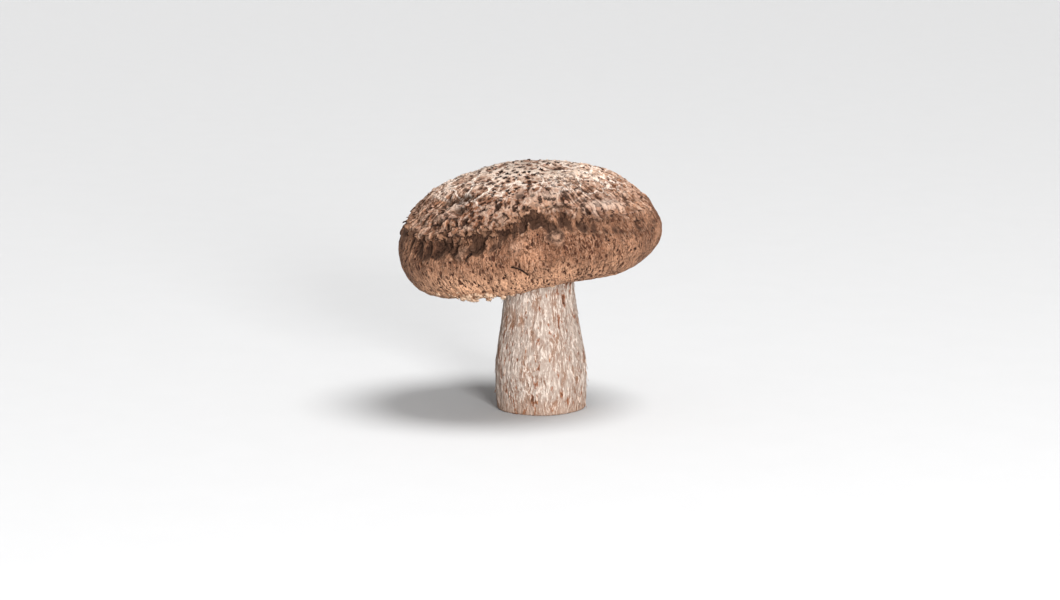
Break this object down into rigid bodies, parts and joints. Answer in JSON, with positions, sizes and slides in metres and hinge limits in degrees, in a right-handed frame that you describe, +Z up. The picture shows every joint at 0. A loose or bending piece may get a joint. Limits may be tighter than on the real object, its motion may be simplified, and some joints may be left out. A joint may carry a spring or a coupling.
{
  "type": "shiitake mushroom",
  "caption": "Whole shiitake mushroom standing on its cut stem, with a thick domed cap, crackled and scaly on top, gills beneath and a stout stem.",
  "frame": {"origin": "centre of the cut face at the foot of the stem, which the mushroom stands on", "axes": "+Z up through the stem towards the cap, +X to the right as seen from the front, -Y to the front, where the cap's margin hangs lowest on the left"},
  "size_m": [0.0947, 0.0892, 0.0895],
  "materials": {
    "cap_skin": "dry matte skin, smooth brown at the side, crackled and paler on the crown",
    "cap_scales": "dry dark brown scale tips",
    "veil_shreds": "pale dry torn shreds at the margin",
    "gill_plates": "soft matte cream to tan",
    "stem_skin": "matte fibrous cream with red-brown specks, grey-brown on the cut face",
    "stem_fibres": "fine matte fibres"
  },
  "bodies": {
    "root": {"cap": "cap_skin", "gills": "gill_plates", "stem": "stem_skin"}
  },
  "joints": []
}
